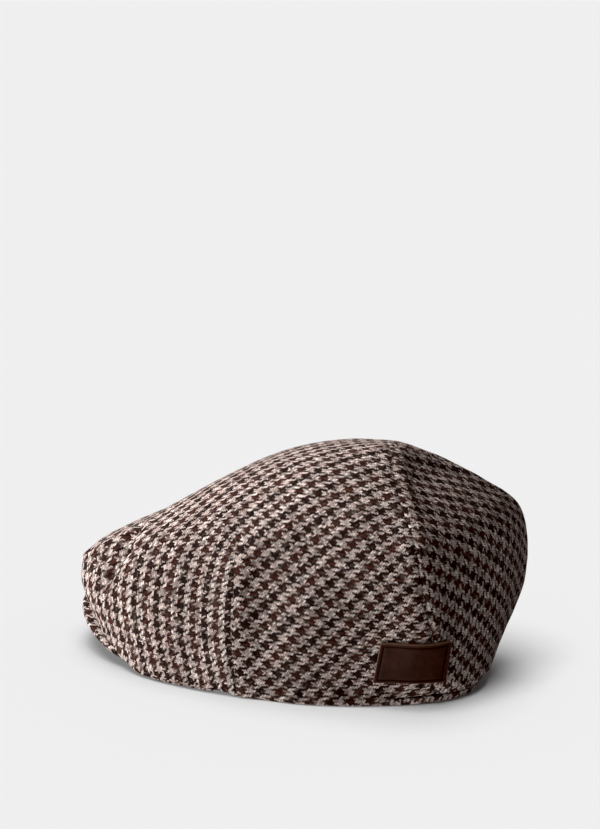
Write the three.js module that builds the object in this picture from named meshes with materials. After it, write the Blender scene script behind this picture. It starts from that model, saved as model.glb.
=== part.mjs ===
import * as THREE from 'three';
import { mergeVertices } from 'three/addons/utils/BufferGeometryUtils.js';

// A wool flat cap lying on its rim, in millimetres with +Z up.
// The peak points towards -Y and the wearer's left is +X.
// Angles are in degrees about the upright axis through the apex: 0 is the front, 90 the left, 180 the back.
// A section runs outwards ("out") and upwards ("up") from that axis, from the rim to the apex.

// Rim of the head opening
const rimFrontY = -100;
const rimRearY = 103;
const headWidth = 158;
const widestY = -8;
const rearTaper = 1.7; // power of the outline: 2 is an ellipse, less is more pointed
const bandHeight = 5;
const bandWall = 2.4;

// Peak
const peakBaseY = -20;
const peakWidth = 164;
const peakLength = 141;
const peakSquareness = 2.5; // power of the outline, as for the rim
const peakThickness = 4;
const peakEdge = { share: 0.1, rounding: 0.75 };
const peakWing = { share: 0.12, thinning: 0.6 };
const peakRise = 25;
const archPower = 3; // how late the arch drops towards its sides
const peakCorner = 47; // angle of the peak's ends
const peakFloorGap = 0.4;

// Crown
const apexY = 46;
const apexHeight = 144;
const clothWall = 2;
const seamGap = 0.3;
const underShare = 0.14; // part of the way up that lies under the overhang
const mergeWithin = 1e-3;

// Rear seams and front darts: angle at the rim, at mid height and at the top, with the heights of the bends
const rearSeam = { rim: 151, middle: 134, top: 126 };
const frontDart = { rim: 55.5, middle: 57.5, top: 38 };
const seamBends = { middleBy: 0.45, topFrom: 0.35, topBy: 0.9 };
const dart = { end: 0.55, fade: 0.1, depth: 0.8, width: 3 };
const goreTip = 0.985; // share of the way up where the back panel ends

// Soft folds along paths of [angle, share of the way up]; a raised fold has a negative depth
const folds = [
  { depth: 2.2, width: 6, bothSides: false, path: [[16, 0.61], [26, 0.51], [20, 0.47]] },
  { depth: -2, width: 13, bothSides: true, path: [[54, 0.48], [76, 0.5], [92, 0.58], [104, 0.77]] },
];

// Leather patch bent round the left rear corner
const patch = { angle: 133.5, height: 31, width: 42.5, lean: 1, up: 0.2, thickness: 1.6 };

// Crown sections, one row for each angle; the lip's height is above the arch of the rim
const sectionColumns = ['angle', 'lipOut', 'lipUp', 'bulgeOut', 'bulgeUp', 'shoulderOut', 'shoulderUp',
  'slopeOut', 'slopeUp', 'topOut', 'topUp'];
const sectionRows = [
  [0, 193, 5.3, 198, 44, 195, 60, 150, 88, 70, 132],
  [15, 188, 5.3, 196, 45, 191, 62, 147, 89, 68, 132],
  [30, 155, 5.5, 160, 42, 147, 75, 114, 101, 58, 134],
  [45, 116, 7, 121, 38, 112, 81, 90, 108, 48, 135],
  [60, 93, 8, 98, 40, 91, 90, 74, 113, 41, 136],
  [80, 72, 10, 80, 52, 70, 101, 56, 120, 32, 137],
  [100, 59, 12, 73, 60, 65, 107, 51, 123, 29, 136],
  [118, 58, 14, 76, 62, 70, 107, 52, 123, 30, 135],
  [136, 62, 14, 83, 62, 80, 103, 58, 121, 32, 133],
  [158, 66, 12, 78, 62, 74, 104, 54, 120, 32, 131],
  [180, 67, 12, 75, 62, 70, 103, 51, 119, 30, 131],
];

const sections = sectionRows.map((row) => {
  return Object.fromEntries(row.map((value, i) => [sectionColumns[i], value]));
});

const radians = THREE.MathUtils.degToRad;
const degrees = THREE.MathUtils.radToDeg;
const lerp = THREE.MathUtils.lerp;
const smoothstep = THREE.MathUtils.smoothstep;

// The same angle on the left side
function onTheLeft(angle) {
  const turned = Math.abs(angle) % 360;
  return turned > 180 ? 360 - turned : turned;
}

// Smooth value of one section column at any angle; left and right mirror each other
function sectionValue(name, angle) {
  const last = sections.length - 1;
  const mirrored = onTheLeft(angle);
  let k = 0;
  while (k < last - 1 && mirrored > sections[k + 1].angle) {
    k += 1;
  }
  const pastFront = { ...sections[1], angle: -sections[1].angle };
  const pastBack = { ...sections[last - 1], angle: 360 - sections[last - 1].angle };
  const before = k > 0 ? sections[k - 1] : pastFront;
  const from = sections[k];
  const to = sections[k + 1];
  const after = k + 2 <= last ? sections[k + 2] : pastBack;
  const span = to.angle - from.angle;
  const u = (mirrored - from.angle) / span;
  const slopeFrom = (span * (to[name] - before[name])) / (to.angle - before.angle);
  const slopeTo = (span * (after[name] - from[name])) / (after.angle - from.angle);
  const rise = to[name] - from[name];
  const bend = 3 * rise - 2 * slopeFrom - slopeTo;
  const twist = slopeFrom + slopeTo - 2 * rise;
  return from[name] + u * (slopeFrom + u * (bend + u * twist));
}

// Distance from the apex axis to an outline along one angle; inside(x, y) tells the points within it
function reachTo(inside, angle) {
  const halvings = 40;
  let near = 0;
  let far = 260;
  for (let step = 0; step < halvings; step += 1) {
    const middle = (near + far) / 2;
    const x = middle * Math.sin(radians(angle));
    const y = apexY - middle * Math.cos(radians(angle));
    if (inside(x, y)) {
      near = middle;
    } else {
      far = middle;
    }
  }
  return near;
}

function insideRim(x, y) {
  const rear = y > widestY;
  const length = rear ? rimRearY - widestY : widestY - rimFrontY;
  const power = rear ? rearTaper : 2;
  return (Math.abs(x) / (headWidth / 2)) ** power + (Math.abs(y - widestY) / length) ** power < 1;
}

function insidePeak(x, y) {
  const forward = Math.max(0, peakBaseY - y) / peakLength;
  return (Math.abs(x) / (peakWidth / 2)) ** peakSquareness + forward ** peakSquareness < 1;
}

const rimReach = (angle) => reachTo(insideRim, angle);
const peakReach = (angle) => reachTo(insidePeak, angle);

// The front of the rim and the peak arch up from the surface
function archLift(x, y) {
  const arch = peakRise * (1 - (Math.abs(x) / (headWidth / 2)) ** archPower);
  return y < widestY ? Math.max(0, arch) : 0;
}

function polar(angle, out, up) {
  return new THREE.Vector3(out * Math.sin(radians(angle)), apexY - out * Math.cos(radians(angle)), up);
}

function archAt(angle, out) {
  const point = polar(angle, out, 0);
  return archLift(point.x, point.y);
}

// Corner points of one crown section, from the rim to the apex
function sectionCorners(angle) {
  const names = ['lip', 'bulge', 'shoulder', 'slope', 'top'];
  const corners = names.map((name) => {
    return new THREE.Vector2(sectionValue(`${name}Out`, angle), sectionValue(`${name}Up`, angle));
  });
  corners[0].y += archAt(angle, corners[0].x);
  const rimOut = rimReach(angle);
  const rim = new THREE.Vector2(rimOut, archAt(angle, rimOut) + bandHeight + seamGap);
  return [rim, ...corners, new THREE.Vector2(0, apexHeight)];
}

// The same corners moved towards the hollow by one cloth thickness
function insetCorners(corners, inset) {
  const inward = corners.slice(1).map((corner, i) => {
    const along = corner.clone().sub(corners[i]).normalize();
    return new THREE.Vector2(-along.y, along.x);
  });
  return corners.map((corner, i) => {
    if (i === corners.length - 1) {
      return new THREE.Vector2(0, corner.y - inset);
    }
    const first = inward[Math.max(0, i - 1)];
    const bisector = first.clone().add(inward[i]).normalize();
    return corner.clone().addScaledVector(bisector, inset / bisector.dot(first));
  });
}

const curveCache = new Map();

function sectionCurve(angle, inset) {
  const key = `${angle.toFixed(4)} ${inset}`;
  if (!curveCache.has(key)) {
    const [rim, ...rest] = insetCorners(sectionCorners(angle), inset);
    const top = rest[rest.length - 2];
    const past = new THREE.Vector2(-top.x, top.y);
    const points = [...rest, past].map((corner) => new THREE.Vector3(corner.x, 0, corner.y));
    const curve = new THREE.CatmullRomCurve3(points, false, 'centripetal');
    curveCache.set(key, { rim, lip: rest[0], curve, apexAt: (points.length - 2) / (points.length - 1) });
  }
  return curveCache.get(key);
}

// Point of the crown at a share t of the way from the rim to the apex
function crownPoint(angle, t, inset = 0) {
  const { rim, lip, curve, apexAt } = sectionCurve(angle, inset);
  if (t <= underShare) {
    const share = t / underShare;
    const out = lerp(rim.x, lip.x, share);
    const above = lerp(rim.y - archAt(angle, rim.x), lip.y - archAt(angle, lip.x), share);
    return polar(angle, out, above + archAt(angle, out));
  }
  const corner = curve.getPoint((apexAt * (t - underShare)) / (1 - underShare));
  return polar(angle, corner.x, corner.z);
}

function reachAt(angle, t) {
  const point = crownPoint(angle, t);
  return Math.hypot(point.x, point.y - apexY);
}

// Angle of a seam at a share t of the way up
function seamAngle(seam, t) {
  const below = lerp(seam.rim, seam.middle, smoothstep(t, 0, seamBends.middleBy));
  return lerp(below, seam.top, smoothstep(t, seamBends.topFrom, seamBends.topBy));
}

// Angle that half the seam gap takes up at a share t of the way up
function gapAngle(angle, t) {
  const reach = Math.max(reachAt(angle, t), seamGap);
  return degrees(Math.asin(seamGap / 2 / reach));
}

// Depth of the stitched dart below the cloth around it
function dartDip(angle, t) {
  const across = reachAt(angle, t) * radians(onTheLeft(angle) - seamAngle(frontDart, t));
  const fade = 1 - smoothstep(t, dart.end - dart.fade, dart.end);
  return dart.depth * fade * Math.exp(-((across / dart.width) ** 2));
}

// Depth of the soft folds at one point of the cloth
function foldDip(angle, t) {
  const point = crownPoint(onTheLeft(angle), t);
  const onRight = Math.sin(radians(angle)) < 0;
  let dip = 0;
  for (const fold of folds) {
    if (fold.bothSides || !onRight) {
      const corners = fold.path.map(([foldAngle, foldUp]) => crownPoint(foldAngle, foldUp));
      const stretches = corners.slice(1).map((corner, i) => new THREE.Line3(corners[i], corner));
      const nearest = stretches.map((line) => line.closestPointToPoint(point, true, new THREE.Vector3()));
      const away = Math.min(...nearest.map((near) => near.distanceTo(point)));
      dip += fold.depth * Math.exp(-((away / fold.width) ** 2));
    }
  }
  return dip;
}

// Point of the cloth with its dart and folds
function clothPoint(angle, t, inset) {
  return crownPoint(angle, t, inset + dartDip(angle, t) + foldDip(angle, t));
}

// Closed wall between an outer and an inner grid of points
function closedWall(columns, rows, outerPoint, innerPoint) {
  const positions = [];
  for (const pointAt of [outerPoint, innerPoint]) {
    for (let i = 0; i <= columns; i += 1) {
      for (let j = 0; j <= rows; j += 1) {
        positions.push(...pointAt(i / columns, j / rows).toArray());
      }
    }
  }
  const outerAt = (i, j) => i * (rows + 1) + j;
  const innerAt = (i, j) => (columns + 1) * (rows + 1) + outerAt(i, j);
  const faces = [];
  const quad = (a, b, c, d) => faces.push(a, b, c, a, c, d);
  for (let i = 0; i < columns; i += 1) {
    for (let j = 0; j < rows; j += 1) {
      quad(outerAt(i, j), outerAt(i + 1, j), outerAt(i + 1, j + 1), outerAt(i, j + 1));
      quad(innerAt(i, j), innerAt(i, j + 1), innerAt(i + 1, j + 1), innerAt(i + 1, j));
    }
    quad(outerAt(i + 1, 0), outerAt(i, 0), innerAt(i, 0), innerAt(i + 1, 0));
    quad(outerAt(i, rows), outerAt(i + 1, rows), innerAt(i + 1, rows), innerAt(i, rows));
  }
  for (let j = 0; j < rows; j += 1) {
    quad(outerAt(0, j), outerAt(0, j + 1), innerAt(0, j + 1), innerAt(0, j));
    quad(outerAt(columns, j + 1), outerAt(columns, j), innerAt(columns, j), innerAt(columns, j + 1));
  }
  return closedGeometry(positions, faces);
}

// Merges shared points, drops collapsed triangles and turns the faces outwards
function closedGeometry(positions, faces) {
  const loose = new THREE.BufferGeometry();
  loose.setAttribute('position', new THREE.Float32BufferAttribute(positions, 3));
  loose.setIndex(faces);
  const merged = mergeVertices(loose, mergeWithin);
  const index = merged.getIndex().array;
  const corners = merged.getAttribute('position');
  const [a, b, c] = [new THREE.Vector3(), new THREE.Vector3(), new THREE.Vector3()];
  const kept = [];
  let volume = 0;
  for (let k = 0; k < index.length; k += 3) {
    const [p, q, r] = [index[k], index[k + 1], index[k + 2]];
    if (p !== q && q !== r && r !== p) {
      kept.push(p, q, r);
      a.fromBufferAttribute(corners, p);
      b.fromBufferAttribute(corners, q);
      c.fromBufferAttribute(corners, r);
      volume += a.dot(b.cross(c)) / 6;
    }
  }
  merged.setIndex(volume < 0 ? kept.reverse() : kept);
  merged.computeVertexNormals();
  return merged;
}

// Rows of both cloth panels, and the columns of the crown panel: rear seam, dart, front, dart, rear seam
const clothRows = 22;
const sideShare = 0.25;

function crownAngle(u, t) {
  const half = Math.abs(2 * u - 1);
  const sign = u < 0.5 ? -1 : 1;
  const dartAngle = seamAngle(frontDart, t);
  const rear = seamAngle(rearSeam, t) - gapAngle(seamAngle(rearSeam, t), t);
  const frontHalf = 1 - 2 * sideShare;
  if (half < frontHalf) {
    return (sign * dartAngle * half) / frontHalf;
  }
  return sign * lerp(dartAngle, rear, (half - frontHalf) / (1 - frontHalf));
}

function crownPanel() {
  const columns = 60;
  const pointAt = (inset) => (u, t) => clothPoint(crownAngle(u, t), t, inset);
  return closedWall(columns, clothRows, pointAt(0), pointAt(clothWall));
}

// The gore stops just short of the apex, where it would have no width
function backPanel() {
  const columns = 18;
  const pointAt = (inset) => (u, v) => {
    const t = Math.min(v, goreTip);
    const edge = seamAngle(rearSeam, t) + gapAngle(seamAngle(rearSeam, t), t);
    return clothPoint(lerp(edge, 360 - edge, u), t, inset);
  };
  return closedWall(columns, clothRows, pointAt(0), pointAt(clothWall));
}

function rimBand() {
  const columns = 96;
  const corner = (u, inset, up) => {
    const angle = 360 * u;
    const out = rimReach(angle);
    return polar(angle, out - inset, archAt(angle, out) + up);
  };
  const positions = [];
  const ring = [[0, 0], [0, bandHeight], [bandWall, bandHeight], [bandWall, 0]];
  for (let i = 0; i < columns; i += 1) {
    ring.forEach(([inset, up]) => positions.push(...corner(i / columns, inset, up).toArray()));
  }
  const faces = [];
  for (let i = 0; i < columns; i += 1) {
    for (let k = 0; k < ring.length; k += 1) {
      const next = ((i + 1) % columns) * ring.length;
      const here = i * ring.length;
      const up = (k + 1) % ring.length;
      faces.push(here + k, next + k, next + up, here + k, next + up, here + up);
    }
  }
  return closedGeometry(positions, faces);
}

// Crescent between the rim and the peak's edge, arched like the forehead, with a round edge and thin wings
function peak() {
  const columns = 44;
  const rows = 8;
  const pointAt = (side) => (u, v) => {
    const angle = lerp(-peakCorner, peakCorner, u);
    const inner = rimReach(angle) + seamGap;
    const out = lerp(inner, peakReach(angle), v);
    const flat = polar(angle, out, 0);
    const pastEdge = Math.max(0, (v - 1) / peakEdge.share + 1);
    const round = Math.sqrt(1 - peakEdge.rounding * pastEdge ** 2);
    const wing = 1 - smoothstep(Math.min(u, 1 - u), 0, peakWing.share);
    const thickness = peakThickness * (1 - peakWing.thinning * wing);
    const middle = peakFloorGap + thickness / 2 + archLift(flat.x, flat.y);
    flat.z = middle + (side * round * thickness) / 2;
    return flat;
  };
  return closedWall(columns, rows, pointAt(1), pointAt(-1));
}

function leatherPatch() {
  const columns = 14;
  const rows = 8;
  const step = 0.01;
  const below = crownPoint(patch.angle, patch.up - step);
  const above = crownPoint(patch.angle, patch.up + step);
  const wallPerShare = above.distanceTo(below) / (2 * step);
  const pointAt = (lift) => (u, v) => {
    const t = patch.up + ((v - 0.5) * patch.height) / wallPerShare;
    const across = (0.5 - u) * patch.width + (v - 0.5) * patch.lean;
    const angle = patch.angle + degrees(across / reachAt(patch.angle, t));
    return crownPoint(angle, t, -lift);
  };
  return closedWall(columns, rows, pointAt(seamGap + patch.thickness), pointAt(seamGap));
}

const tweed = new THREE.MeshStandardMaterial({ color: 0x8d7a70, roughness: 0.95, metalness: 0 });
const leather = new THREE.MeshStandardMaterial({ color: 0x38211d, roughness: 0.55, metalness: 0 });

function piece(name, geometry, material) {
  const mesh = new THREE.Mesh(geometry, material);
  mesh.name = name;
  return mesh;
}

const cap = new THREE.Group();
cap.add(piece('crown_panel', crownPanel(), tweed));
cap.add(piece('back_panel', backPanel(), tweed.clone()));
cap.add(piece('peak', peak(), tweed.clone()));
cap.add(piece('rim_band', rimBand(), tweed.clone()));
cap.add(piece('leather_patch', leatherPatch(), leather));

// The origin is the middle of the cap's own box, on the surface that it rests on
const box = new THREE.Box3().setFromObject(cap);
const middle = box.getCenter(new THREE.Vector3());
cap.position.set(-middle.x, -middle.y, -box.min.z);

const group = new THREE.Group();
group.add(cap);

export default group;
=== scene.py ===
import math

import bmesh
import bpy
import numpy as np
from mathutils import Matrix, Vector, noise


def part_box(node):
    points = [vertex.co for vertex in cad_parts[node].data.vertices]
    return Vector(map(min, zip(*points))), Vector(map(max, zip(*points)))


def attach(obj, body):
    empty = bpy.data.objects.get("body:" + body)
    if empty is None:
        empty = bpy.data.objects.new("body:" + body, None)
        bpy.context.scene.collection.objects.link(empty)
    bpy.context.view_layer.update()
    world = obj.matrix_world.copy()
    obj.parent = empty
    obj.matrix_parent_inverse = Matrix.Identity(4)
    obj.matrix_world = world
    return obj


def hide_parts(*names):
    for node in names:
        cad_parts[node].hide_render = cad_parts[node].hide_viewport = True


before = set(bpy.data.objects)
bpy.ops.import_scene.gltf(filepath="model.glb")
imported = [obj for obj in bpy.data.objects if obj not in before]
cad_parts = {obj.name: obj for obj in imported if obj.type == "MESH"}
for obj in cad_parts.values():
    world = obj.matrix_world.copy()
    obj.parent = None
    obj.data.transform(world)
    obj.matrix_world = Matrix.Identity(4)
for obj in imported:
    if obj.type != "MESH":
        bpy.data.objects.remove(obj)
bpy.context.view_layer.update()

mm = 0.001
thisScene = bpy.context.scene

# millimetres from the middle of the rim, front towards -Y; angles run from the front round the apex
capForm = {
    "rimFront": -100.0, "rimRear": 103.0, "headWidth": 158.0, "widestY": -8.0,
    "frontTaper": 2.0, "rearTaper": 1.7,
    "archRise": 25.0, "archPower": 3.0,
    "apexY": 46.0, "apexHeight": 144.0,
    "underShare": 0.14,  # share of the way up that is tucked under the lip
    "seamGap": 0.3, "clothWall": 2.0, "hemHeight": 5.0,
}
clothFoot = {
    "peakEnd": (46.0, 56.0),  # angles where the cloth comes down past the ends of the peak
    "hemFrom": (108.0, 128.0),  # angles where the hem begins to show below it
    "sideUp": 0.8, "sideOut": 0.7, "rearOut": 1.9, "rearUp": 0.25,
    "curlFrom": (20.0, 38.0), "curlUp": 1.0, "curlPower": 4,  # the lip curls down over the edge of the peak
}
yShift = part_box("rim_band")[1].y - capForm["rimRear"] * mm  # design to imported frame

# one row for each angle: how far out from the apex and how high each corner of the section is
sectionRows = np.array([
    # angle, lip out, up, bulge out, up, shoulder out, up, slope out, up, top out, up
    [0, 193, 5.3, 198, 44, 195, 60, 150, 88, 70, 132],
    [15, 188, 5.3, 196, 45, 191, 62, 147, 89, 68, 132],
    [30, 155, 5.5, 160, 42, 147, 75, 114, 101, 58, 134],
    [45, 116, 7, 121, 38, 112, 81, 90, 108, 48, 135],
    [60, 93, 8, 98, 40, 91, 90, 74, 113, 41, 136],
    [80, 72, 10, 80, 52, 70, 101, 56, 120, 32, 137],
    [100, 59, 12, 73, 60, 65, 107, 51, 123, 29, 136],
    [118, 58, 14, 76, 62, 70, 107, 52, 123, 30, 135],
    [136, 59.5, 13, 83, 62, 80, 103, 58, 121, 32, 133],
    [158, 62, 11.5, 78, 62, 74, 104, 54, 120, 32, 131],
    [180, 62.5, 11.5, 75, 62, 70, 103, 51, 119, 30, 131],
], float)


def smoothStep(x, low, high):
    share = np.clip((x - low) / (high - low), 0, 1)
    return share * share * (3 - 2 * share)


def lerp(start, end, share):
    return start + (end - start) * share


def bell(gap, width):  # 1 on a line, dying away to both sides
    return np.exp(-(gap / width) ** 2)


def curveBetween(start, end, slopeFrom, slopeTo, share):
    rise = end - start
    bend = 3 * rise - 2 * slopeFrom - slopeTo
    twist = slopeFrom + slopeTo - 2 * rise
    return start + share * (slopeFrom + share * (bend + share * twist))


def fromFront(angle):  # 0 to 180, the same on both sides
    return np.abs(np.mod(angle + 180, 360) - 180)


def onGround(angle, out):
    turn = np.radians(angle)
    return out * np.sin(turn), capForm["apexY"] - out * np.cos(turn)


def archAt(angle, out):  # the front of the rim arches up like a forehead
    x, y = onGround(angle, out)
    lift = capForm["archRise"] * (1 - (np.abs(x) * 2 / capForm["headWidth"]) ** capForm["archPower"])
    return np.where(y < capForm["widestY"], np.maximum(lift, 0), 0)


def insideRim(x, y):
    form = capForm
    rear = y > form["widestY"]
    length = np.where(rear, form["rimRear"] - form["widestY"], form["widestY"] - form["rimFront"])
    power = np.where(rear, form["rearTaper"], form["frontTaper"])
    across = np.abs(x) * 2 / form["headWidth"]
    return across ** power + (np.abs(y - form["widestY"]) / length) ** power < 1


def reachTo(inside, angle):  # distance from the apex axis to an outline, by halving
    beyond, halvings = 260.0, 40
    near = np.zeros_like(angle)
    far = np.full_like(angle, beyond)
    for halving in range(halvings):
        middle = (near + far) / 2
        within = inside(*onGround(angle, middle))
        near, far = np.where(within, middle, near), np.where(within, far, middle)
    return near


def sectionValues(angle):  # a smooth curve through the rows, the same on both sides
    turned = fromFront(angle)
    knots = np.concatenate([[-sectionRows[1, 0]], sectionRows[:, 0], [360 - sectionRows[-2, 0]]])
    rows = np.concatenate([sectionRows[1:2], sectionRows, sectionRows[-2:-1]])[:, 1:]
    k = np.clip(np.searchsorted(knots, turned, side="right") - 1, 1, len(knots) - 3)
    span = knots[k + 1] - knots[k]
    share = ((turned - knots[k]) / span)[..., None]
    slopeFrom = (span / (knots[k + 1] - knots[k - 1]))[..., None] * (rows[k + 1] - rows[k - 1])
    slopeTo = (span / (knots[k + 2] - knots[k]))[..., None] * (rows[k + 2] - rows[k])
    return curveBetween(rows[k], rows[k + 1], slopeFrom, slopeTo, share)


def crownPoint(angle, t):  # t runs from the rim to the apex
    angle, t = np.broadcast_arrays(np.asarray(angle, float), np.asarray(t, float))
    foot, under = clothFoot, capForm["underShare"]
    values = sectionValues(angle)
    corners = np.stack([values[..., 0::2], values[..., 1::2]], -1)
    lipOut = corners[..., 0, 0]
    lipUp = corners[..., 0, 1].copy()
    corners[..., 0, 1] += archAt(angle, lipOut)
    turned = fromFront(angle)
    overPeak = 1 - smoothStep(turned, *foot["peakEnd"])
    atRear = smoothStep(turned, *foot["hemFrom"])
    atSide = (1 - overPeak) * (1 - atRear)
    curl = overPeak * smoothStep(turned, *foot["curlFrom"]) * (lipUp - foot["curlUp"])
    corners[..., 0, 1] -= curl
    # from the rim out to the lip
    share = np.clip(t / under, 0, 1)
    footOut = reachTo(insideRim, angle) + foot["sideOut"] * atSide + foot["rearOut"] * atRear
    lowOut = lerp(footOut, lipOut, share)
    onHem = capForm["hemHeight"] + capForm["seamGap"] + foot["rearUp"] * atRear
    footUp = lerp(onHem, foot["sideUp"], atSide)
    lowUp = lerp(footUp, lipUp, share) - curl * share ** foot["curlPower"] + archAt(angle, lowOut)
    # from the lip up to the apex, one smooth curve through the corners
    apex = np.zeros_like(corners[..., :1, :])
    apex[..., 1] = capForm["apexHeight"]
    past = corners[..., -1:, :] * (-1, 1)
    before = 2 * corners[..., :1, :] - corners[..., 1:2, :]
    chain = np.concatenate([before, corners, apex, past], -2)
    spans = corners.shape[-2]
    place = spans * np.clip((t - under) / (1 - under), 0, 1)
    k = np.clip(np.floor(place), 0, spans - 1).astype(int)
    p = [np.take_along_axis(chain, (k + n)[..., None, None], -2)[..., 0, :] for n in range(4)]
    step = [np.sqrt(np.linalg.norm(p[n + 1] - p[n], axis=-1, keepdims=True)) for n in range(3)]
    rise = [(p[n + 1] - p[n]) / step[n] for n in range(3)]
    slopeFrom = step[1] * (rise[0] - (p[2] - p[0]) / (step[0] + step[1]) + rise[1])
    slopeTo = step[1] * (rise[1] - (p[3] - p[1]) / (step[1] + step[2]) + rise[2])
    high = curveBetween(p[1], p[2], slopeFrom, slopeTo, (place - k)[..., None])
    low = t <= under
    x, y = onGround(angle, np.where(low, lowOut, high[..., 0]))
    return np.stack([x, y, np.where(low, lowUp, high[..., 1])], -1)


def fromApex(points):
    return np.hypot(points[..., 0], points[..., 1] - capForm["apexY"])


def outwardNormals(points):  # columns run to the right and rows run up, seen from outside
    across = np.gradient(points, axis=0)
    upward = np.gradient(points, axis=1)
    normal = np.cross(across, upward)
    return normal / np.maximum(np.linalg.norm(normal, axis=-1, keepdims=True), 1e-9)


def softNoise(points, size, seed):  # gentle waves, about -1 to 1
    flat = points.reshape(-1, 3) / size + seed
    return np.array([noise.noise(Vector(p)) for p in flat]).reshape(points.shape[:-1])


def toFrame(points):
    return points * mm + np.array([0, yShift, 0])


# sewn lines, as angles at the rim, half way up and at the top
rearSeam = {"rim": 151.0, "middle": 134.0, "top": 126.0}
frontDart = {"rim": 55.5, "middle": 57.5, "top": 38.0, "end": 0.55, "fade": 0.12}
seamBends = {"middleBy": 0.45, "topFrom": 0.35, "topBy": 0.9}


def seamAngle(seam, t):
    below = lerp(seam["rim"], seam["middle"], smoothStep(t, 0, seamBends["middleBy"]))
    return lerp(below, seam["top"], smoothStep(t, seamBends["topFrom"], seamBends["topBy"]))


clothFeel = {
    "dartDepth": 0.8, "dartWidth": 1.5,  # the stitched line of the dart
    "dartSwell": 1.3, "dartSwellWidth": 10.0,  # cloth pushed up along it
    "dartHollow": 1.8, "dartHollowWidth": 10.0, "dartHollowBehind": 14.0,  # and hollow behind it
    "seamDepth": 0.7, "seamWidth": 1.8,  # roll of the cloth into the rear seam
    "goreFlat": 2.6, "goreFlatFrom": 7.0, "goreFlatWidth": 18.0,  # the gore turns sharply away behind it
    "goreFade": 8.0, "goreRise": (0.1, 0.3),
    "hemDepth": 0.5, "hemWidth": 1.8, "clothRun": 150.0,  # about the length of cloth from rim to apex
    "puckerDepth": 0.35, "puckerSize": 9.0, "puckerReach": 9.0,
    "puckerStretch": (0.4, 0.4, 1), "puckerSeed": 11,
    "softDepth": 0.55, "softSize": 34.0, "softSeed": 3,
    "fineDepth": 0.12, "fineSize": 7.0, "fineSeed": 29,
}
softFolds = [  # depth, width, on both sides, then the line as angle and share of the way up
    (3.8, 4.2, False, [(18.5, 0.611), (25, 0.506), (25.5, 0.442), (25, 0.367)]),  # crease behind the nose
    (-1.0, 6.0, False, [(28.5, 0.54), (29.5, 0.45), (30, 0.36)]),  # cloth full beside it
    (1.8, 3.0, False, [(20.5, 0.438), (24, 0.479), (26, 0.506)]),  # short fold into the crease
    (-2.2, 4.5, False, [(15.5, 0.448), (20, 0.531), (18.5, 0.62)]),  # flap in front of it
    (-1.6, 20.0, True, [(87, 0.22), (89, 0.4), (89, 0.55)]),  # fullness behind the dart
    (1.8, 17.0, True, [(124, 0.24), (124, 0.4), (122, 0.55)]),  # hollow before the rear seam
]


def foldDip(points):
    onLeft = points * np.where(points[..., :1] < 0, [-1, 1, 1], [1, 1, 1])
    dip = np.zeros(points.shape[:-1])
    for depth, width, bothSides, line in softFolds:
        knots = crownPoint(*np.array(line, float).T)
        nearest = np.full(dip.shape, np.inf)
        for start, end in zip(knots[:-1], knots[1:]):
            along = end - start
            share = np.clip((onLeft - start) @ along / (along @ along), 0, 1)
            gap = np.linalg.norm(onLeft - start - share[..., None] * along, axis=-1)
            nearest = np.minimum(nearest, gap)
        here = depth * bell(nearest, width)
        dip += here if bothSides else np.where(points[..., 0] >= 0, here, 0)
    return dip


def dressCloth(angle, t, points):  # dart, seams, folds and puckers of a sewn panel
    feel = clothFeel
    turned, reach = fromFront(angle), fromApex(points)
    fromDart = reach * np.radians(turned - seamAngle(frontDart, t))
    behindSeam = reach * np.radians(turned - seamAngle(rearSeam, t))
    dartFade = 1 - smoothStep(t, frontDart["end"] - frontDart["fade"], frontDart["end"])
    lift = -foldDip(points)
    lift -= feel["dartDepth"] * dartFade * bell(fromDart, feel["dartWidth"])
    lift += feel["dartSwell"] * dartFade * bell(fromDart, feel["dartSwellWidth"])
    lift -= feel["dartHollow"] * dartFade * bell(fromDart - feel["dartHollowBehind"], feel["dartHollowWidth"])
    lift -= feel["seamDepth"] * bell(behindSeam, feel["seamWidth"])
    intoGore = np.maximum((behindSeam - feel["goreFlatFrom"]) / feel["goreFlatWidth"], 0)
    flattened = intoGore * np.exp(1 - intoGore) * np.exp(-intoGore ** 2 / feel["goreFade"])
    lift -= feel["goreFlat"] * flattened * smoothStep(t, *feel["goreRise"])
    lift -= feel["hemDepth"] * bell(t * feel["clothRun"], feel["hemWidth"])
    nearSeam = np.maximum(dartFade * np.exp(-np.abs(fromDart) / feel["puckerReach"]),
                          np.exp(-np.abs(behindSeam) / feel["puckerReach"]))
    puckers = softNoise(points * feel["puckerStretch"], feel["puckerSize"], feel["puckerSeed"])
    lift += feel["puckerDepth"] * nearSeam * puckers
    lift += feel["softDepth"] * softNoise(points, feel["softSize"], feel["softSeed"])
    lift += feel["fineDepth"] * softNoise(points, feel["fineSize"], feel["fineSeed"])
    return points + outwardNormals(points) * lift[..., None]


def gridFaces(columns, rows):
    i, j = np.meshgrid(np.arange(columns), np.arange(rows), indexing="ij")
    here = i * (rows + 1) + j
    return np.stack([here, here + rows + 1, here + rows + 2, here + 1], -1).reshape(-1, 4)


def meshFrom(name, points, faces, uvs=None):
    mesh = bpy.data.meshes.new(name)
    mesh.from_pydata(points.reshape(-1, 3).tolist(), [], [list(face) for face in faces])
    if uvs is not None:
        layer = mesh.uv_layers.new(name="cloth")
        layer.data.foreach_set("uv", np.asarray(uvs, float).ravel())
    mesh.shade_smooth()
    mesh.update()
    return mesh


def newPiece(name, mesh, material, node):
    piece = bpy.data.objects.new(name, mesh)
    thisScene.collection.objects.link(piece)
    mesh.materials.append(material)
    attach(piece, "root")
    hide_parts(node)
    return piece


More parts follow.
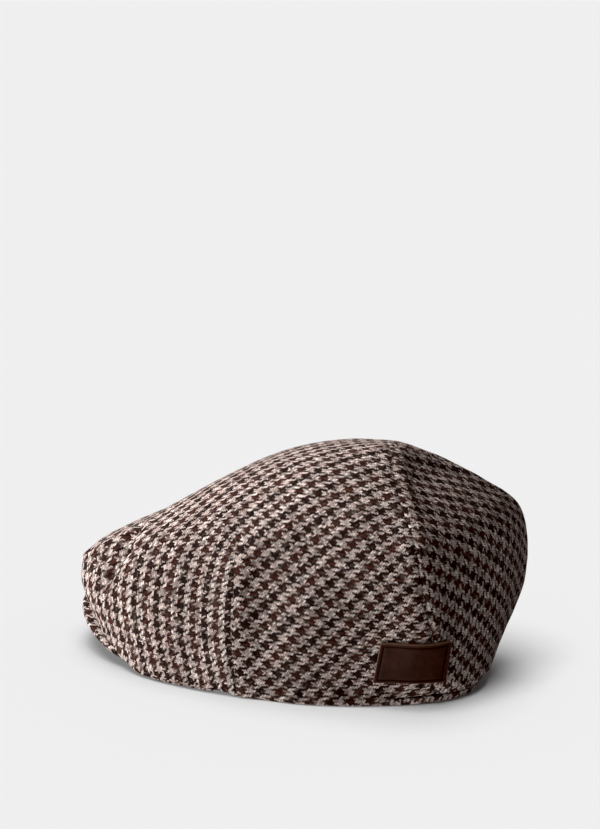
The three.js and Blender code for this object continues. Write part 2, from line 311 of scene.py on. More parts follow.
def layFlat(points, cutColumns=(), cutRows=0):  # the panel's paper pattern, in metres, for each cell's corners
    columns, rows = points.shape[0] - 1, points.shape[1] - 1
    mesh = meshFrom("pattern", points, gridFaces(columns, rows), np.zeros((columns * rows, 4, 2)))
    cut = {tuple(sorted((c * (rows + 1) + j, c * (rows + 1) + j + 1)))
           for c in cutColumns for j in range(cutRows)}
    for edge in mesh.edges:
        edge.use_seam = tuple(sorted(edge.vertices)) in cut
    paper = bpy.data.objects.new("pattern", mesh)
    thisScene.collection.objects.link(paper)
    bpy.ops.object.select_all(action="DESELECT")
    bpy.context.view_layer.objects.active = paper
    paper.select_set(True)
    bpy.ops.object.mode_set(mode="EDIT")
    bpy.ops.mesh.select_all(action="SELECT")
    bpy.ops.uv.unwrap(method="MINIMUM_STRETCH", iterations=40, margin=0)
    bpy.ops.object.mode_set(mode="OBJECT")
    flat = np.zeros(columns * rows * 8)
    mesh.uv_layers[0].data.foreach_get("uv", flat)
    flat = flat.reshape(-1, 4, 2)
    area = sum(polygon.area for polygon in mesh.polygons)
    ahead, aside = flat[:, 2] - flat[:, 0], flat[:, 3] - flat[:, 1]
    flatArea = np.abs(ahead[:, 0] * aside[:, 1] - ahead[:, 1] * aside[:, 0]).sum() / 2
    bpy.data.objects.remove(paper)
    bpy.data.meshes.remove(mesh)
    return (flat * math.sqrt(area / flatArea)).reshape(columns, rows, 4, 2)


def turnCloth(flat, turn):  # lays the threads at an angle to the piece
    return flat @ np.array([[math.cos(turn), -math.sin(turn)], [math.sin(turn), math.cos(turn)]])


def turnPattern(cells, bias):  # middle line of the panel upright, then turned to the cut of the cloth
    lowShare, highShare = 0.45, 0.9  # the stretch of the middle line that is set upright
    middle, rows = cells.shape[0] // 2, cells.shape[1]
    low, high = (cells[middle, int(rows * share), 0] for share in (lowShare, highShare))
    upright = math.atan2(*(high - low)[::-1]) - math.pi / 2
    return turnCloth(cells - low, upright + math.radians(bias))


def spreadPattern(cells, step):  # coarse cells to the fine grid's face corners
    columns, rows = cells.shape[0] * step, cells.shape[1] * step
    i, j = np.meshgrid(np.arange(columns), np.arange(rows), indexing="ij")
    corner = cells[i // step, j // step]
    uvs = []
    for di, dj in ((0, 0), (1, 0), (1, 1), (0, 1)):
        a = ((i % step + di) / step)[..., None]
        b = ((j % step + dj) / step)[..., None]
        uvs.append(lerp(lerp(corner[..., 0, :], corner[..., 1, :], a),
                        lerp(corner[..., 3, :], corner[..., 2, :], a), b))
    return np.stack(uvs, -2).reshape(-1, 4, 2)


def newMaterial(name):
    material = bpy.data.materials.new(name)
    material.use_nodes = True
    return material, material.node_tree, material.node_tree.nodes["Principled BSDF"]


def addNode(tree, kind, inputs=None, **settings):
    node = tree.nodes.new(kind)
    for key, value in settings.items():
        setattr(node, key, value)
    for key, value in (inputs or {}).items():
        if isinstance(value, bpy.types.NodeSocket):
            tree.links.new(value, node.inputs[key])
        else:
            node.inputs[key].default_value = value
    return node


def compute(tree, operation, *values):
    return addNode(tree, "ShaderNodeMath", dict(enumerate(values)), operation=operation).outputs[0]


def mixColors(tree, share, first, second):
    return addNode(tree, "ShaderNodeMix", {0: share, 6: first, 7: second}, data_type="RGBA").outputs[2]


def newGroup(name, inputs, outputs):
    tree = bpy.data.node_groups.new(name, "ShaderNodeTree")
    for socketName, kind, value in inputs:
        socket = tree.interface.new_socket(socketName, in_out="INPUT", socket_type=kind)
        if value is not None:
            socket.default_value = value
    for socketName, kind in outputs:
        tree.interface.new_socket(socketName, in_out="OUTPUT", socket_type=kind)
    return tree, tree.nodes.new("NodeGroupInput").outputs, tree.nodes.new("NodeGroupOutput")


weave = {  # lengths are in threads; a pair is a gain and a base
    "check": 8, "twill": 4.0, "warpStart": 2.0, "weftStart": -1.0,
    "driftSize": 0.16, "driftBy": 4.0,  # threads wander slowly
    "ragSize": 1.5, "ragBy": 3.6,  # and have ragged edges
    "roundness": -3.6, "arching": -0.6,  # of a thread, across and along; they shape its relief and its painted shade
    "threadMix": 0.6, "floatMix": 0.5,  # how far each thread and each float differ in shade
    "blotchSize": 0.05, "slubSize": 0.35, "slubGrey": (1.6, -0.5),
    "fleckShare": 0.14, "fleckInDark": 0.45,
    "warpSeed": 7.3, "weftSeed": 91.7,
    "fibreLong": 0.9, "fibreThin": 5.0, "fibreRelief": 0.35,
    # painted shade from the thread's height, as gain and base; the other pairs are the yarn's own tone
    "paintedGapShade": (0.85, 0.45), "fibreShade": (0.9, 0.55), "blotchShade": (0.5, 0.75),
    "strandSize": (0.55, 2.4, 1), "strandShade": (5.0, -2.7), "strandEdge": 0.2,
}


def houndstoothGroup():  # 2/2 twill of four dark and four light threads, the dark ones in two shades each way
    color, value = "NodeSocketColor", "NodeSocketFloat"
    tree, given, result = newGroup("houndstoothCheck", [
        ("Vector", "NodeSocketVector", None),
        ("Thread", value, 0.00105),
        ("Waver", value, 0.35),
        ("Fuzz", value, 0.3),
        ("Speckle", value, 0.95),
        ("Melange", value, 0.4),
        ("Cover", value, 0.35),
        ("Warp Rust", color, (0.068, 0.021, 0.014, 1)),
        ("Warp Black", color, (0.008, 0.003, 0.0025, 1)),
        ("Weft Brown", color, (0.039, 0.0145, 0.0105, 1)),
        ("Weft Dark", color, (0.005, 0.002, 0.0016, 1)),
        ("Ground Pale", color, (0.87, 0.77, 0.72, 1)),
        ("Ground Rose", color, (0.68, 0.5, 0.44, 1)),
        ("Ground Grey", color, (0.46, 0.32, 0.275, 1)),
        ("Dark Fleck", color, (0.065, 0.022, 0.015, 1)),
    ], [("Color", color), ("Height", value)])

    def calc(operation, *values):
        return compute(tree, operation, *values)

    def vector(operation, first, second):
        socket = "Scale" if operation == "SCALE" else 1
        return addNode(tree, "ShaderNodeVectorMath", {0: first, socket: second}, operation=operation).outputs[0]

    def noiseAt(place, scale, detail=2.0):
        return addNode(tree, "ShaderNodeTexNoise", {"Vector": place, "Scale": scale, "Detail": detail},
                       noise_dimensions="2D").outputs

    def chance(dimensions, **place):  # one value for each place
        return addNode(tree, "ShaderNodeTexWhiteNoise", place, noise_dimensions=dimensions).outputs["Value"]

    base = vector("SCALE", given["Vector"], calc("DIVIDE", 1.0, given["Thread"]))  # one unit a thread

    def jitter(place, size, amount):
        shift = vector("SUBTRACT", noiseAt(base, size)["Color"], (0.5, 0.5, 0.5))
        return vector("ADD", place, vector("SCALE", shift, calc("MULTIPLY", given["Waver"], amount)))

    wavy = jitter(base, weave["driftSize"], weave["driftBy"])
    ragged = jitter(wavy, weave["ragSize"], weave["ragBy"])
    x, y = addNode(tree, "ShaderNodeSeparateXYZ", {0: ragged}).outputs[:2]
    i, j = calc("FLOOR", x), calc("FLOOR", y)
    blotch = noiseAt(base, weave["blotchSize"], 3.0)["Fac"]
    slub = noiseAt(base, weave["slubSize"])["Fac"]

    def floats(across, index, along, start):  # a thread rises over two and dips under two
        side = calc("SUBTRACT", calc("SUBTRACT", across, index), 0.5)
        rounded = calc("MULTIPLY_ADD", calc("MULTIPLY", side, side), weave["roundness"], 1.0)
        run = calc("ADD", calc("SUBTRACT", along, index), start)
        lap = calc("FLOOR", calc("DIVIDE", run, weave["twill"]))
        place = addNode(tree, "ShaderNodeCombineXYZ", {0: index, 1: lap, 2: start}).outputs[0]
        run = calc("SUBTRACT", calc("MULTIPLY_ADD", lap, -weave["twill"], run), weave["twill"] / 2)
        arch = calc("MULTIPLY_ADD", calc("MULTIPLY", run, run), weave["arching"], 1.0)
        return calc("MULTIPLY", rounded, arch), chance("3D", Vector=place)

    warpHeight, warpOwn = floats(x, i, y, weave["warpStart"])
    weftHeight, weftOwn = floats(y, j, x, weave["weftStart"])
    weftHeight = calc("SUBTRACT", weftHeight, given["Cover"])  # the warp is the bulkier yarn
    warpOnTop = calc("GREATER_THAN", warpHeight, weftHeight)

    def inFirstHalf(index, repeat):
        return calc("LESS_THAN", calc("FLOORED_MODULO", index, repeat), repeat / 2 - 0.5)

    def threadColor(index, own, first, second, seed):
        thread = chance("1D", W=calc("ADD", index, seed))
        mixed = calc("MULTIPLY_ADD", thread, weave["threadMix"], calc("MULTIPLY", own, weave["floatMix"]))
        ground = mixColors(tree, mixed, given["Ground Rose"], given["Ground Pale"])
        ground = mixColors(tree, calc("MULTIPLY_ADD", slub, *weave["slubGrey"]), ground, given["Ground Grey"])
        fleck = calc("MULTIPLY", calc("LESS_THAN", own, weave["fleckShare"]), given["Melange"])
        ground = mixColors(tree, fleck, ground, given["Dark Fleck"])
        deep = mixColors(tree, inFirstHalf(index, weave["check"] * 2), second, first)
        deep = mixColors(tree, calc("MULTIPLY", own, given["Melange"]), deep, given["Dark Fleck"])
        deep = mixColors(tree, calc("MULTIPLY", fleck, weave["fleckInDark"]), deep, given["Ground Rose"])
        return mixColors(tree, inFirstHalf(index, weave["check"]), ground, deep)

    warpColor = threadColor(i, warpOwn, given["Warp Rust"], given["Warp Black"], weave["warpSeed"])
    weftColor = threadColor(j, weftOwn, given["Weft Brown"], given["Weft Dark"], weave["weftSeed"])
    woven = mixColors(tree, warpOnTop, weftColor, warpColor)

    def pick(weft, warp):
        return addNode(tree, "ShaderNodeMix", {0: warpOnTop, 2: weft, 3: warp}).outputs[0]

    def fibresOf(stretch):
        return noiseAt(vector("MULTIPLY", base, stretch), 1.0)["Fac"]

    height = calc("MAXIMUM", warpHeight, weftHeight)
    fibre = pick(fibresOf((weave["fibreLong"], weave["fibreThin"], 1)),
                 fibresOf((weave["fibreThin"], weave["fibreLong"], 1)))
    ownShade = calc("SUBTRACT", pick(weftOwn, warpOwn), 0.5)
    shade = calc("MULTIPLY_ADD", height, *weave["paintedGapShade"])  # painted shade: darker between the threads, at their rounded sides and where they dip under
    shade = calc("MULTIPLY", shade, calc("MULTIPLY_ADD", ownShade, given["Speckle"], 1.0))
    shade = calc("MULTIPLY", shade, calc("MULTIPLY_ADD", fibre, *weave["fibreShade"]))
    shade = calc("MULTIPLY", shade, calc("MULTIPLY_ADD", blotch, *weave["blotchShade"]))
    shaded = vector("SCALE", woven, shade)
    # loose fibres lie across the threads
    strand = noiseAt(vector("MULTIPLY", wavy, weave["strandSize"]), 1.0, 3.0)["Fac"]
    strand = calc("MULTIPLY_ADD", strand, *weave["strandShade"])
    haze = calc("MULTIPLY", calc("SMOOTH_MAX", strand, 0.0, weave["strandEdge"]), given["Fuzz"])
    tree.links.new(mixColors(tree, haze, shaded, given["Ground Grey"]), result.inputs["Color"])
    tree.links.new(calc("MULTIPLY_ADD", fibre, weave["fibreRelief"], height), result.inputs["Height"])
    return tree


houndstooth = houndstoothGroup()
tweed = {
    "thread": 1.05, "relief": 0.55, "fuzz": 0.04, "waver": 0.37,
    "roughness": 0.9, "gloss": 0.06,
    "sheen": 0.01, "sheenRoughness": 0.6, "sheenTint": (0.9, 0.75, 0.68, 1),
}


def tweedMaterial(name):
    material, tree, shader = newMaterial(name)
    cloth = addNode(tree, "ShaderNodeUVMap", uv_map="cloth").outputs[0]
    check = addNode(tree, "ShaderNodeGroup", node_tree=houndstooth)
    tree.links.new(cloth, check.inputs["Vector"])
    check.inputs["Thread"].default_value = tweed["thread"] * mm
    check.inputs["Fuzz"].default_value = tweed["fuzz"]
    check.inputs["Waver"].default_value = tweed["waver"]
    bump = addNode(tree, "ShaderNodeBump", {"Height": check.outputs["Height"], "Strength": 1.0,
                                            "Distance": tweed["relief"] * mm})
    tree.links.new(check.outputs["Color"], shader.inputs["Base Color"])
    tree.links.new(bump.outputs[0], shader.inputs["Normal"])
    shader.inputs["Roughness"].default_value = tweed["roughness"]
    shader.inputs["Specular IOR Level"].default_value = tweed["gloss"]
    shader.inputs["Sheen Weight"].default_value = tweed["sheen"]
    shader.inputs["Sheen Roughness"].default_value = tweed["sheenRoughness"]
    shader.inputs["Sheen Tint"].default_value = tweed["sheenTint"]
    return material


# crown panel: top, sides and front in one cloth, darted at both sides
crownCut = {"columns": 288, "rows": 144, "cell": 4, "tip": 0.997, "bias": 39.0, "frontShare": 0.5}


def crownAngle(u, t):
    half, side = np.abs(2 * u - 1), np.where(u < 0.5, -1, 1)
    dart, rear = seamAngle(frontDart, t), seamAngle(rearSeam, t)
    front = crownCut["frontShare"]
    return side * np.where(half < front, dart * half / front, lerp(dart, rear, (half - front) / (1 - front)))


def panelGrid(cut):
    return np.meshgrid(np.linspace(0, 1, cut["columns"] + 1),
                       np.linspace(0, cut["tip"], cut["rows"] + 1), indexing="ij")


def sewnPanel(name, angle, t, cut, cutColumns=(), cutRows=0):
    smooth = crownPoint(angle, t)
    points = toFrame(dressCloth(angle, t, smooth))
    cells = layFlat(toFrame(smooth)[::cut["cell"], ::cut["cell"]], cutColumns, cutRows)
    uvs = spreadPattern(turnPattern(cells, cut["bias"]), cut["cell"])
    return meshFrom(name, points, gridFaces(cut["columns"], cut["rows"]), uvs)


def thicken(piece, wall):
    solid = piece.modifiers.new("wall", "SOLIDIFY")
    solid.thickness = wall * mm
    solid.offset = -1
    solid.use_even_offset = False


u, t = panelGrid(crownCut)
coarseColumns, coarseRows = (crownCut[way] // crownCut["cell"] for way in ("columns", "rows"))
dartColumns = [round(coarseColumns * (1 + side * crownCut["frontShare"]) / 2) for side in (-1, 1)]
dartRows = round(coarseRows * frontDart["end"] / crownCut["tip"])
crownMesh = sewnPanel("crown", crownAngle(u, t), t, crownCut, dartColumns, dartRows)
crown = newPiece("crown", crownMesh, tweedMaterial("tweedCrown"), "crown_panel")
thicken(crown, capForm["clothWall"])
print("crown sewn:", len(crownMesh.polygons), "faces")

# back gore between the two rear seams
backCut = {"columns": 84, "rows": 144, "cell": 4, "tip": 0.997, "bias": 55.0}
u, t = panelGrid(backCut)
seamSide = seamAngle(rearSeam, t)
backMesh = sewnPanel("back", lerp(seamSide, 360 - seamSide, u), t, backCut)
back = newPiece("back", backMesh, tweedMaterial("tweedBack"), "back_panel")
thicken(back, capForm["clothWall"])
print("back gore sewn:", len(backMesh.polygons), "faces")


def ringFaces(columns, rows, closed):  # rows close on themselves, columns too if asked
    i, j = np.meshgrid(np.arange(columns if closed else columns - 1), np.arange(rows), indexing="ij")
    ahead, above = (i + 1) % columns, (j + 1) % rows
    return np.stack([i * rows + j, ahead * rows + j, ahead * rows + above, i * rows + above], -1).reshape(-1, 4)


def ringUvs(uv, columns, rows, closed):  # uv has one more row, and one more column where it is closed
    i, j = np.meshgrid(np.arange(columns if closed else columns - 1), np.arange(rows), indexing="ij")
    return np.stack([uv[i, j], uv[i + 1, j], uv[i + 1, j + 1], uv[i, j + 1]], -2).reshape(-1, 4, 2)


# peak: a stiffened crescent covered in the same cloth
peakForm = {
    "baseY": -20.0, "width": 164.0, "length": 141.0, "squareness": 2.5, "corner": 47.0,
    "thickness": 4.0, "wingShare": 0.12, "wingThinning": 0.6, "floorGap": 0.4,
    "tuckFrom": (23.0, 40.0), "tuckShare": 0.66,  # where it draws back under the cloth
    "columns": 161, "flatRows": 14, "edgeRows": 10, "bias": 45.0,
}


def insidePeak(x, y):
    forward = np.maximum(0, peakForm["baseY"] - y) / peakForm["length"]
    power = peakForm["squareness"]
    return (np.abs(x) * 2 / peakForm["width"]) ** power + forward ** power < 1


def makePeak():
    form = peakForm
    u = np.linspace(0, 1, form["columns"])
    angle = lerp(-form["corner"], form["corner"], u)
    inner = reachTo(insideRim, angle) + capForm["seamGap"]
    outer = reachTo(insidePeak, angle)
    tucked = lerp(inner, sectionValues(angle)[:, 0], form["tuckShare"])
    outer = lerp(outer, np.minimum(outer, tucked), smoothStep(np.abs(angle), *form["tuckFrom"]))
    wing = 1 - smoothStep(np.minimum(u, 1 - u), 0, form["wingShare"])
    half = form["thickness"] / 2 * (1 - form["wingThinning"] * wing)
    flat = np.linspace(0, 1, form["flatRows"], endpoint=False)
    outs, ups, arcs = [], [], []  # arcs run over the cloth, from the middle of the edge
    for share in flat:
        outs.append(lerp(inner, outer - half, share))
        ups.append(half)
        arcs.append(outs[-1] - outer + half - half * math.pi / 2)
    for turn in np.radians(np.linspace(90, -90, form["edgeRows"] + 1)):
        outs.append(outer - half + half * math.cos(turn))
        ups.append(half * math.sin(turn))
        arcs.append(-half * turn)
    for share in flat[::-1]:
        outs.append(lerp(inner, outer - half, share))
        ups.append(-half)
        arcs.append(outer - half - outs[-1] + half * math.pi / 2)
    outs, ups, arcs = (np.stack(rows, 1) for rows in (outs, ups, arcs))
    x, y = onGround(angle[:, None], outs)
    z = form["floorGap"] + half[:, None] + archAt(angle[:, None], outs) + ups
    points = toFrame(np.stack([x, y, z], -1))
    edge = np.stack(onGround(angle, outer), -1)
    along = np.gradient(edge, axis=0)
    along /= np.linalg.norm(along, axis=1, keepdims=True)
    outward = np.stack([along[:, 1], -along[:, 0]], -1)
    overCloth = edge[:, None] + outward[:, None] * arcs[..., None]
    underCloth = np.stack([-x, y], -1)  # a second cloth lies straight under the peak
    bias = math.radians(form["bias"])
    overCloth, underCloth = (turnCloth(np.concatenate([cloth, cloth[:, :1]], 1) * mm, bias)
                             for cloth in (overCloth, underCloth))
    columns, rows = points.shape[:2]
    faces = ringFaces(columns, rows, False)
    below = np.tile(np.arange(rows) >= form["flatRows"] + form["edgeRows"], columns - 1)
    uvs = np.where(below[:, None, None], ringUvs(underCloth, columns, rows, False),
                   ringUvs(overCloth, columns, rows, False))
    for column in (0, columns - 1):  # close both ends
        end = column * rows + np.arange(rows)
        for low, high in zip(range(rows // 2), range(rows - 1, rows // 2, -1)):
            if high - low > 2:
                corners = [low, low + 1, high - 1, high]
                quad = end[corners]
                faces = np.concatenate([faces, [quad if column == 0 else quad[::-1]]])
                uvs = np.concatenate([uvs, [overCloth[column, corners]]])
    return meshFrom("peak", points, faces, uvs)


peakMesh = makePeak()
peak = newPiece("visor", peakMesh, tweedMaterial("tweedPeak"), "peak")
print("peak covered:", len(peakMesh.polygons), "faces")

# turned hem round the head opening
hemForm = {
    "wall": 2.4, "round": 0.9, "setIn": 0.15, "columns": 320, "cornerRows": 5, "bias": 40.0,
    "behindCloth": 2.0,  # how far it stands back where the cloth covers it
    "lean": 3.4, "leanAbout": 0.45,  # where it shows, its foot is drawn in
    "shelf": 4.0,  # and its top goes on behind the cloth
}


def runLength(line):  # length along a line, at each of its points
    return np.concatenate([[0], np.cumsum(np.linalg.norm(np.diff(line, axis=0), axis=1))])


def makeHem():
    form, tall = hemForm, capForm["hemHeight"]
    angle = np.linspace(0, 360, form["columns"], endpoint=False)
    shows = smoothStep(fromFront(angle), *clothFoot["hemFrom"])
    reach = reachTo(insideRim, angle) - form["behindCloth"] * (1 - shows)
    near, far = form["setIn"] + form["round"], form["wall"] - form["round"]
    low, high = form["round"], tall - form["round"]
    ring = []
    for k, (inward, up) in enumerate([(near, low), (near, high), (far, high), (far, low)]):
        for turn in np.radians(np.linspace(90 * k - 90, 90 * k, form["cornerRows"])):
            ring.append((inward - form["round"] * math.cos(turn), up + form["round"] * math.sin(turn)))
    ring = np.array(ring)
    inward, up = ring.T
    lean = form["lean"] * shows[:, None] * (up / tall - form["leanAbout"])
    shelf = form["shelf"] * shows[:, None] * smoothStep(inward, near, far) * up / tall
    x, y = onGround(angle[:, None], reach[:, None] - inward + lean - shelf)
    z = archAt(angle, reach)[:, None] + up
    points = toFrame(np.stack([x, y, z], -1))
    along = runLength(np.concatenate([points[:, 0], points[:1, 0]]))
    around = runLength(np.concatenate([ring, ring[:1]])) * mm
    flat = turnCloth(np.stack(np.meshgrid(along, around, indexing="ij"), -1), math.radians(form["bias"]))
    columns, rows = points.shape[:2]
    return meshFrom("hem", points, ringFaces(columns, rows, True), ringUvs(flat, columns, rows, True))


hemMesh = makeHem()
hem = newPiece("hem", hemMesh, tweedMaterial("tweedHem"), "rim_band")
print("hem turned:", len(hemMesh.polygons), "faces")

# bare leather patch across the left rear seam
patchForm = {
    "angle": 133.6, "up": 0.203, "width": 43.0, "height": 32.0, "lean": 1.0, "tilt": 0.05, "corner": 1.4,
    "cornerPoints": 7, "shortPoints": 22, "longPoints": 32,
    "profile": [  # inset from the edge and lift above the cloth, from under the patch round to its middle
        (16, 0.3), (8, 0.3), (0.3, 0.3), (0, 0.5), (0, 1.4), (0.1, 1.68), (0.32, 1.84), (0.7, 1.9),
        (1.9, 1.9), (2.15, 1.78), (2.4, 1.55), (2.7, 1.46), (3.0, 1.55), (3.25, 1.78), (3.5, 1.9),
        (5, 1.94), (8, 1.97), (12, 2.0), (16, 2.0)],
    "underside": 0.3,  # lift of its back
    "rawEdge": 0.35,  # how far in from the edge the cut shows
    "groove": (1.9, 3.4),  # pressed line
    "waveDepth": 0.06, "waveSize": 6.0, "waveSeed": 5, "waveAbove": 0.6,  # its face isn't quite even
    "weld": 0.01,
}


def onPatch(across, rise, lift):
    form = patchForm
    step, turnBy, riseBy = 0.01, 0.1, 0.002  # small moves on the crown, to measure it
    span = crownPoint(form["angle"], form["up"] + step) - crownPoint(form["angle"], form["up"] - step)
    t = form["up"] + (rise + across * form["tilt"]) * 2 * step / np.linalg.norm(span)
    lean = rise / form["height"] * form["lean"]
    reach = fromApex(crownPoint(np.full_like(t, form["angle"]), t))
    angle = form["angle"] + np.degrees((across + lean) / reach)
    right = crownPoint(angle + turnBy, t) - crownPoint(angle - turnBy, t)
    upward = crownPoint(angle, t + riseBy) - crownPoint(angle, t - riseBy)
    normal = np.cross(right, upward)
    normal /= np.linalg.norm(normal, axis=-1, keepdims=True)
    cloth = crownPoint(angle, t)
    return cloth + normal * (lift - foldDip(cloth))[..., None]


def roundedLoop(inset):  # round the patch against the clock, from the lower right corner
    form = patchForm
    radius = max(form["corner"] - inset, 0)
    wide, tall = form["width"] / 2 - inset - radius, form["height"] / 2 - inset - radius
    loop = []
    arcs = [[(sx * wide + radius * math.cos(a), sy * tall + radius * math.sin(a))
             for a in np.radians(np.linspace(90 * k - 90, 90 * k, form["cornerPoints"]))]
            for k, (sx, sy) in enumerate([(1, -1), (1, 1), (-1, 1), (-1, -1)])]
    for k, arc in enumerate(arcs):
        loop += arc
        count = form["shortPoints"] if k % 2 == 0 else form["longPoints"]
        ahead = np.array(arcs[(k + 1) % 4][0])
        loop += [tuple(lerp(np.array(arc[-1]), ahead, n / (count + 1))) for n in range(1, count + 1)]
    return np.array(loop)


def makePatch():
    form = patchForm
    insets, lifts = np.array(form["profile"]).T
    loops = np.stack([roundedLoop(inset) for inset in insets], 1)
    level = np.concatenate([loops, np.zeros_like(loops[..., :1])], -1)
    waves = form["waveDepth"] * softNoise(level, form["waveSize"], form["waveSeed"])
    waves *= lifts > form["waveAbove"]
    points = toFrame(onPatch(loops[..., 0], loops[..., 1], lifts + waves))
    columns, rows = points.shape[:2]
    faces = ringFaces(columns, rows, True).reshape(columns, rows, 4)[:, :-1].reshape(-1, 4)
    mesh = meshFrom("patch", points, faces)
    masks = {
        "rawEdge": (insets <= form["rawEdge"]) & (lifts > form["underside"]),
        "pressed": (insets > form["groove"][0]) & (insets < form["groove"][1]),
    }
    for name, mask in masks.items():
        values = np.tile(mask.astype(float), columns)
        mesh.attributes.new(name, "FLOAT", "POINT").data.foreach_set("value", values)
    joined = bmesh.new()
    joined.from_mesh(mesh)
    bmesh.ops.remove_doubles(joined, verts=joined.verts, dist=form["weld"] * mm)
    joined.to_mesh(mesh)
    joined.free()
    mesh.shade_smooth()
    return mesh


patchLeather = {  # a pair is a gain and a base
    "light": (0.062, 0.0216, 0.0147, 1), "dark": (0.0168, 0.0068, 0.0055, 1),
    "cutEdge": (0.25, 0.14, 0.095, 1),
    "poreScale": 1500.0, "mottleScale": 260.0, "cloudScale": 70.0,
    "mottle": 0.9, "cloud": (0.8, -0.45), "pressed": (-0.9, 1.0), "fray": (0.9, 0.3),
    "roughness": (0.25, 0.4), "cutRoughness": 0.3,
    "mottleRelief": 0.8, "reliefStrength": 0.8, "relief": 0.16,
    "gloss": 0.08, "glossTint": (1, 0.62, 0.5, 1),
}


def leatherMaterial(name):
    look = patchLeather
    material, tree, shader = newMaterial(name)
    place = addNode(tree, "ShaderNodeTexCoord").outputs["Object"]

    def calc(operation, *values):
        return compute(tree, operation, *values)

    def noiseAt(scale, detail):
        inputs = {"Vector": place, "Scale": scale, "Detail": detail}
        return addNode(tree, "ShaderNodeTexNoise", inputs).outputs["Fac"]

    pores = addNode(tree, "ShaderNodeTexVoronoi", {"Vector": place, "Scale": look["poreScale"]},
                    feature="SMOOTH_F1")
    mottle, cloud = noiseAt(look["mottleScale"], 5.0), noiseAt(look["cloudScale"], 3.0)
    raw, pressed = (addNode(tree, "ShaderNodeAttribute", attribute_name=mask).outputs["Fac"]
                    for mask in ("rawEdge", "pressed"))
    share = calc("MULTIPLY_ADD", mottle, look["mottle"], calc("MULTIPLY_ADD", cloud, *look["cloud"]))
    share = calc("MULTIPLY", share, calc("MULTIPLY_ADD", pressed, *look["pressed"]))
    hide = mixColors(tree, share, look["dark"], look["light"])
    fray = calc("MULTIPLY", raw, calc("MULTIPLY_ADD", mottle, *look["fray"]))
    tree.links.new(mixColors(tree, fray, hide, look["cutEdge"]), shader.inputs["Base Color"])
    rough = calc("MULTIPLY_ADD", mottle, *look["roughness"])
    tree.links.new(calc("MULTIPLY_ADD", raw, look["cutRoughness"], rough), shader.inputs["Roughness"])
    grain = calc("MULTIPLY_ADD", mottle, look["mottleRelief"], pores.outputs["Distance"])
    bump = addNode(tree, "ShaderNodeBump", {"Height": grain, "Strength": look["reliefStrength"],
                                            "Distance": look["relief"] * mm})
    tree.links.new(bump.outputs[0], shader.inputs["Normal"])
    shader.inputs["Specular IOR Level"].default_value = look["gloss"]
    shader.inputs["Specular Tint"].default_value = look["glossTint"]
    return material


patchMesh = makePatch()
patch = newPiece("patch", patchMesh, leatherMaterial("patchLeather"), "leather_patch")
print("patch cut:", len(patchMesh.polygons), "faces")

# pale floor, soft light and the photograph's camera
studio = {
    "floorSize": 16.0, "floor": 0.885, "bounce": 0.1,
    "roomLight": 0.1, "blackLevel": (0.001, 0.003, 0.0033),
    "suns": {  # azimuth, elevation, softness, strength
        "overhead": (112.0, 66.5, 36.0, 1.65),
        "sweep": (108.0, 66.0, 34.0, 0.77),
        "rear": (310.0, 81.0, 28.0, 0.55),
        "key": (10.0, 28.0, 40.0, 6.9),
        "fill": (42.0, -40.0, 70.0, 3.6),
        "side": (135.0, 10.0, 150.0, 0.5),
    },
}


def direction(azimuth, elevation):
    a, e = math.radians(azimuth), math.radians(elevation)
    return Vector((math.sin(a) * math.cos(e), -math.cos(a) * math.cos(e), math.sin(e)))


def floorMaterial():  # a white sweep that throws little light back on the cap
    material, tree, shader = newMaterial("paleFloor")
    seen = addNode(tree, "ShaderNodeLightPath").outputs["Is Camera Ray"]
    pale, dim = ((level,) * 3 + (1,) for level in (studio["floor"], studio["bounce"]))
    tree.links.new(mixColors(tree, seen, dim, pale), shader.inputs["Base Color"])
    shader.inputs["Roughness"].default_value = 1.0
    shader.inputs["Specular IOR Level"].default_value = 0.0
    return material


floorHalf = studio["floorSize"] / 2
floorCorners = [(x * floorHalf, y * floorHalf, 0) for x, y in ((-1, -1), (1, -1), (1, 1), (-1, 1))]
floorMesh = bpy.data.meshes.new("floor")
floorMesh.from_pydata(floorCorners, [], [(0, 1, 2, 3)])
floorMesh.materials.append(floorMaterial())
floor = bpy.data.objects.new("floor", floorMesh)
thisScene.collection.objects.link(floor)


def named(name, *objects):
    group = bpy.data.collections.new(name)
    for member in objects:
        group.objects.link(member)
    return group


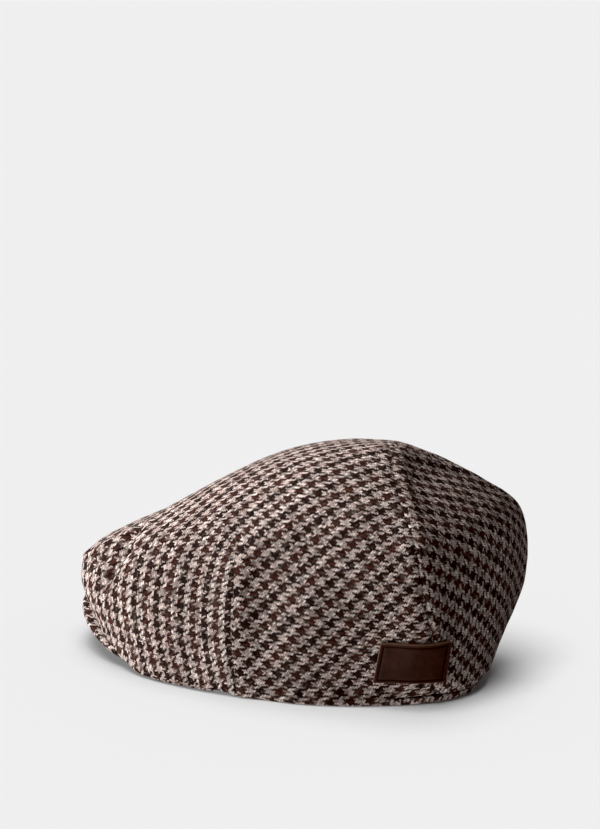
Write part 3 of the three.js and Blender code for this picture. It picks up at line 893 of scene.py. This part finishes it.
def addSun(name, lit):
    azimuth, elevation, softness, strength = studio["suns"][name]
    sun = bpy.data.objects.new(name, bpy.data.lights.new(name, "SUN"))
    sun.data.energy = strength
    sun.data.angle = math.radians(softness)
    sun.rotation_euler = direction(azimuth, elevation).to_track_quat("Z", "Y").to_euler()
    sun.light_linking.receiver_collection = lit
    thisScene.collection.objects.link(sun)
    return sun


wholeCap = named("wholeCap", crown, back, peak, hem, patch)
floorOnly = named("floorOnly", floor)
floorSuns = {name: addSun(name, floorOnly) for name in ("overhead", "sweep", "rear")}  # a close soft shadow
rearHalf = named("rearHalf", back, patch, hem)
floorSuns["sweep"].light_linking.blocker_collection = rearHalf  # so that it comes in under the peak
for name in ("key", "fill", "side"):  # from in front of the peak, up from the floor there, and all round
    sun = addSun(name, wholeCap)
    sun.light_linking.blocker_collection = wholeCap
    sun.data.cycles.max_bounces = 0  # the floor's shadow stays grey

room = bpy.data.worlds.new("room")
room.use_nodes = True
room.node_tree.nodes["Background"].inputs["Color"].default_value = (1, 1, 1, 1)
room.node_tree.nodes["Background"].inputs["Strength"].default_value = studio["roomLight"]
thisScene.world = room
thisScene.view_settings.view_transform = "Standard"
thisScene.view_settings.use_curve_mapping = True
thisScene.view_settings.curve_mapping.black_level = studio["blackLevel"]

shot = {
    "azimuth": 123.0, "elevation": 14.0, "distance": 2.2, "pixelsPerMm": 1.65,
    "middlePixel": (323.6, 665.2),  # where the middle of the rim falls
    "image": (600, 829), "sensor": 36.0,
}
towards = direction(shot["azimuth"], shot["elevation"])
right = direction(shot["azimuth"] + 90, 0)
upward = towards.cross(right)
pixel = mm / shot["pixelsPerMm"]
aim = Vector((0, yShift, 0)) + right * (shot["image"][0] / 2 - shot["middlePixel"][0]) * pixel
aim += upward * (shot["middlePixel"][1] - shot["image"][1] / 2) * pixel
lens = bpy.data.cameras.new("camera")
lens.sensor_width = shot["sensor"]
lens.lens = shot["distance"] / pixel * shot["sensor"] / shot["image"][1]
camera = bpy.data.objects.new("camera", lens)
camera.matrix_world = Matrix.LocRotScale(aim + towards * shot["distance"],
                                         Matrix((right, upward, towards)).transposed(), None)
thisScene.collection.objects.link(camera)
thisScene.camera = camera
print("studio set")
